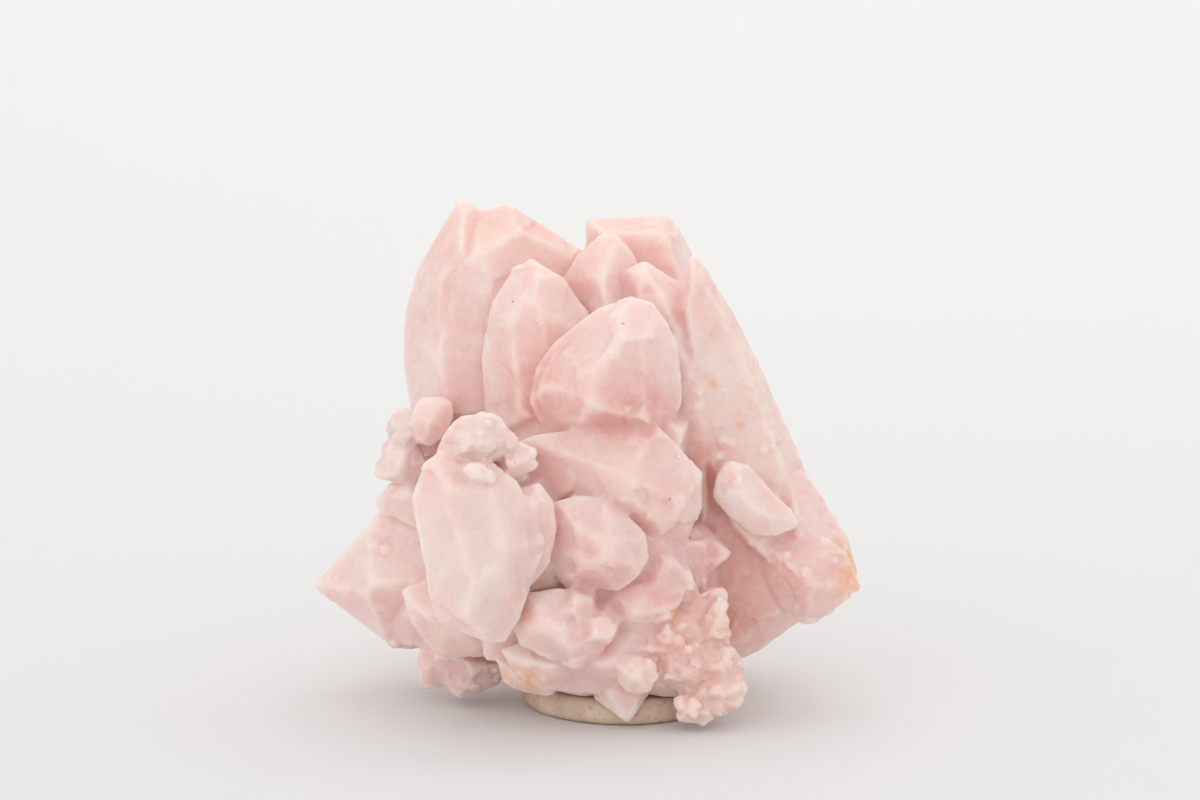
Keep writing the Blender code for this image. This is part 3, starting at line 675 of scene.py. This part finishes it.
# The tint differs from crystal to crystal, and within the large ones too. Each row is a
# place and its reach, both in millimetres, a colour and how far the tint goes towards it.
ROSE = (0.88, 0.635, 0.595)
PEACH = (0.96, 0.63, 0.54)
SALMON = (0.84, 0.495, 0.445)
MAUVE = (0.76, 0.50, 0.49)
CREAM = (0.85, 0.735, 0.70)
BEIGE = (0.88, 0.71, 0.635)
CORAL = (0.79, 0.365, 0.30)
DEEP_ROSE = (0.74, 0.31, 0.265)
APRICOT = (0.83, 0.54, 0.46)
FROST = (0.88, 0.78, 0.78)
TINTS = (
    ((-14, 10, 68), (24, 18, 12), PEACH, 1.0),
    ((4, 14, 66), (16, 14, 10), PEACH, 1.0),
    ((-9, -6, 46), (10, 12, 12), SALMON, 1.0),
    ((2, -12, 43), (10, 10, 10), SALMON, 1.0),
    ((3, -14, 31), (7, 8, 5), SALMON, 0.6),
    ((6, -14, 26.5), (6, 8, 5), SALMON, 0.4),
    ((-21, -26, 26), (9, 8, 17), CREAM, 1.0),
    ((-28, -21, 29), (2.6, 4, 12), FROST, 0.8),
    ((-12, -23, 26), (5, 6, 8), MAUVE, 0.35),
    ((-18, -24, 41), (8, 8, 6), CREAM, 0.65),
    ((-31, 0, 36), (7, 10, 9), CREAM, 1.0),
    ((-34, 0, 22), (9, 10, 7), CREAM, 0.5),
    ((18, 8, 58), (8, 10, 9), CREAM, 0.8),
    ((-30, 8, 52), (5, 12, 14), FROST, 0.4),
    ((-13, -21, 17), (5, 8, 8), SALMON, 0.4),
    ((-34, 4, 9), (12, 12, 8), MAUVE, 0.15),
    ((-22, -4, 5), (13, 10, 7), MAUVE, 0.9),
    ((-3, -20, 23), (9, 8, 8), MAUVE, 0.6),
    ((10, -12, 22), (8, 8, 6), MAUVE, 0.9),
    ((2, -17, 15), (9, 8, 6), MAUVE, 0.7),
    ((-8, -20, 8), (14, 10, 7), MAUVE, 0.7),
    ((-6.6, -23, 18), (3, 4, 3), CREAM, 0.2),
    ((-4, -23, 14.6), (3, 4, 3), CREAM, 0.4),
    ((18, -4, 44), (12, 10, 26), BEIGE, 0.9),
    ((16, -12, 31), (5, 5, 5), CREAM, 0.8),
    ((13.5, -5, 39), (2.4, 3, 2.4), CREAM, 0.9),
    ((9.5, -4, 49), (2.6, 4, 4), CREAM, 0.6),
    ((24, -9, 19), (8, 6, 7), SALMON, 0.5),
    ((16, 0, 17), (6.5, 8, 13), CORAL, 1.0),
    ((10, -4, 34), (5, 6, 12), CORAL, 0.4),
    ((10, -17, 9), (9, 8, 11), APRICOT, 1.0),
    ((5, -16, 12.5), (6, 5, 3), SALMON, 0.6),
    ((2, -13, 42.5), (8, 7, 6), DEEP_ROSE, 0.8),
    ((-13, -5, 47), (7, 8, 9), CORAL, 0.6),
    ((-11, 7, 64), (4, 6, 5), SALMON, 0.35),
    ((1, 12, 64), (7, 8, 6), SALMON, 0.35),
    ((8.5, 14, 62), (3, 6, 5), FROST, 0.5),
    ((-4.6, -20, 27.5), (4, 5, 4), SALMON, 0.7),
    ((11.6, -12, 22.6), (4, 5, 4), DEEP_ROSE, 0.65),
    ((4, -16, 17), (7, 6, 5), SALMON, 0.9),
    ((11, -15, 17), (4, 4, 3.4), CORAL, 0.5),
    ((5, -17, 12.7), (4, 4, 3), CORAL, 0.7),
    ((1.4, -20, 8.7), (3.4, 4, 3.4), APRICOT, 0.9),
    ((10, -19, 9), (4, 4, 4), CORAL, 0.3),
    ((16, -4, 21), (5, 5, 5), CORAL, 0.6),
    ((-21, -26, 31), (7, 7, 8), BEIGE, 0.7),
    ((-12, -22, 30), (3, 4, 4), SALMON, 0.3),
    ((-17, -22, 39.5), (6, 5, 5), SALMON, 0.22),
    ((-31, -2, 37), (4, 5, 5), FROST, 0.6),
    ((15.6, -12, 30), (4, 4, 4), FROST, 0.7),
    ((2, -18, 3), (5, 6, 3.4), SALMON, 0.9),
    ((10.5, -6, 33), (3, 4, 7), CORAL, 0.8),
    ((-22, -26, 30), (6, 6, 7), MAUVE, 0.25),
    ((-4.6, -20.6, 27.3), (4, 5, 4), MAUVE, 0.5),
    ((2, -17, 16), (4, 4, 3), MAUVE, 0.5),
    ((-6.6, -22, 18), (3, 4, 3), MAUVE, 0.4),
)
RUSTY_PLACES = (
    ((31, -5, 20), (4, 7, 8)),
    ((-13.6, -15, 7), (6, 6, 4)),
    ((12, -4.6, 45.5), (1.0, 2, 1.2)),
    ((15.8, -4.6, 40), (0.9, 2, 1.1)),
    ((-11.4, -17.5, 21), (2, 3, 2)),
    ((7, -15, 15.6), (1.4, 3, 1.2)),
    ((14, -16, 14), (1.6, 3, 1.6)),
)
# Places for painted glints: white dots that stand in for light caught by tiny faces.
PAINTED_GLINT_PLACES = (
    ((7, -12, 37), (5, 3, 5)),
    ((10.6, -13, 30), (2.4, 4, 6)),
    ((6, -10, 42), (4, 4, 2.4)),
    ((12, -3, 45), (6, 4, 9)),
)


def openness(mesh, blocker, rays=24, reach=12.0, lift=0.35):
    """For each vertex, 1 where no stone stands within reach (mm) of it, less the nearer it stands."""
    turn = math.pi * (3 - math.sqrt(5))
    fan = []
    for number in range(rays):
        wide = math.sqrt((number + 0.5) / rays)
        fan.append(Vector((
            wide * math.cos(number * turn), wide * math.sin(number * turn), math.sqrt(1 - wide**2)
        )))
    tree = BVHTree.FromPolygons(
        [v.co for v in blocker.vertices], [p.vertices[:] for p in blocker.polygons]
    )
    upright = Vector((0, 0, 1))
    free = np.empty(len(mesh.vertices))
    for number, vertex in enumerate(mesh.vertices):
        turned = upright.rotation_difference(vertex.normal)
        start = vertex.co + vertex.normal * lift * MM
        shade = 0.0
        for ray in fan:
            distance = tree.ray_cast(start, turned @ ray, reach * MM)[3]
            if distance is not None:
                shade += 1 - distance / (reach * MM)
        free[number] = 1 - shade / rays
    return free


places = vertex_places(stone)
tint = np.tile(np.array(ROSE), (len(places), 1))
for middle, reach, colour, strength in TINTS:
    share = nearness(places, ((middle, reach),), 0.7)[:, None] * strength
    tint = tint * (1 - share) + np.array(colour) * share
colours = np.ones((len(places), 4), np.float32)
colours[:, :3] = tint
stone.attributes.new("tint", "FLOAT_COLOR", "POINT").data.foreach_set("color", colours.ravel())
# How open, proud, broken, stained, small and newly grown each place is, and where painted
# glints go. Openness drives the painted shade, and proudness the painted highlight and the
# painted crease shade, in the stone's colour.
rough_copy = worked_mesh(stone, ("DECIMATE", {"ratio": ROUGH_SHARE}))
free = spread(stone, openness(stone, rough_copy), 2)
keep_values(stone, "open", free)
keep_values(stone, "ridge", spread(stone, ridges(stone, places, 8), 1))
keep_values(stone, "coarse", nearness(places, COARSE_PLACES))
keep_values(stone, "rusty", nearness(places, RUSTY_PLACES, 0.8))
keep_values(stone, "small", nearness(places, SHARP_PLACES, 0.7))
keep_values(stone, "painted_glint", nearness(places, PAINTED_GLINT_PLACES, 0.8))
standing_out = np.array([bare.find_nearest(Vector(place))[3] for place in places * MM])
keep_values(stone, "grown", spread(stone, np.clip(standing_out / MM / 0.5 - 0.4, 0, 1), 1))
stone.polygons.foreach_set("use_smooth", [True] * len(stone.polygons))
cluster = new_object("rose_quartz_cluster", stone)
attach(cluster, "root")
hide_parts("crystal_cluster")

# ---- Putty ------------------------------------------------------------------------------
# A button of cream mounting putty, pressed flat between the stone and the shelf, so its
# side bulges unevenly. It has picked up brown dust and a few flecks of green putty.

PUTTY_SIDES = 128
PUTTY_PROFILE = (  # radius and height in millimetres, from the middle of the foot upwards
    (0, 0), (6, 0), (11, 0), (12.9, 0.02), (13.5, 0.2), (13.9, 0.5), (14.15, 0.95),
    (14.2, 1.4), (14.15, 1.9), (14.0, 2.5), (13.75, 3.0), (13.4, 3.35), (12.9, 3.5),
    (7, 3.5), (0, 3.5),
)
PUTTY_PALE = (0.74, 0.58, 0.45)
PUTTY_BROWN = (0.62, 0.44, 0.34)
PUTTY_DUST = (0.33, 0.20, 0.13)
PUTTY_FLECK = (0.16, 0.42, 0.36)


def putty_mesh():
    """The button of putty: rings of the profile, each pressed a little out of round."""
    shape = bmesh.new()
    rings = []
    for radius, height in PUTTY_PROFILE:
        if radius == 0:
            rings.append([shape.verts.new((0, 0, height * MM))])
            continue
        ring = []
        for side in range(PUTTY_SIDES):
            turn = math.tau * side / PUTTY_SIDES
            pressed = 0.16 * math.sin(3 * turn + 0.6) + 0.12 * math.sin(5 * turn + 2 + height)
            pressed += 0.05 * math.sin(17 * turn + 3 * height)
            wide = radius + (pressed - 0.1) * min(1, radius / 12)
            corner = (wide * math.cos(turn) * MM, wide * math.sin(turn) * MM, height * MM)
            ring.append(shape.verts.new(corner))
        rings.append(ring)
    for lower, upper in zip(rings, rings[1:]):
        for side in range(PUTTY_SIDES):
            after = (side + 1) % PUTTY_SIDES
            around = ((lower, side), (lower, after), (upper, after), (upper, side))
            corners = dict.fromkeys(ring[number % len(ring)] for ring, number in around)
            shape.faces.new(corners).smooth = True
    bmesh.ops.recalc_face_normals(shape, faces=shape.faces)
    mesh = bpy.data.meshes.new("mounting_putty")
    shape.to_mesh(mesh)
    shape.free()
    return mesh


def putty_material():
    """Matt cream putty, browner in patches, with dust pressed in and flecks of green putty."""
    material, tree, shader = new_material("mounting putty")
    place = add(tree, "ShaderNodeTexCoord").outputs["Object"]
    patches = ramp(tree, noise_at(tree, place, 3), 0.35, 0.65)
    colour = towards(tree, patches, PUTTY_PALE, PUTTY_BROWN)
    dust = ramp(tree, noise_at(tree, place, 0.7, 4), 0.6, 0.68, 0, 0.6)
    colour = towards(tree, dust, colour, PUTTY_DUST)
    flecks = dots(tree, place, 2.2, 0, 0.85, 0.14, 0.2)
    colour = towards(tree, flecks, colour, PUTTY_FLECK)
    tree.links.new(colour, shader.inputs["Base Color"])
    shader.inputs["Roughness"].default_value = 0.7
    bump = add(
        tree, "ShaderNodeBump",
        {"Height": noise_at(tree, place, 0.9, 5), "Strength": 0.5, "Distance": 0.15 * MM},
    )
    tree.links.new(bump.outputs[0], shader.inputs["Normal"])
    return material


putty = new_object("mounting_putty", putty_mesh())
putty.data.materials.append(putty_material())
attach(putty, "root")
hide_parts("putty_disc")
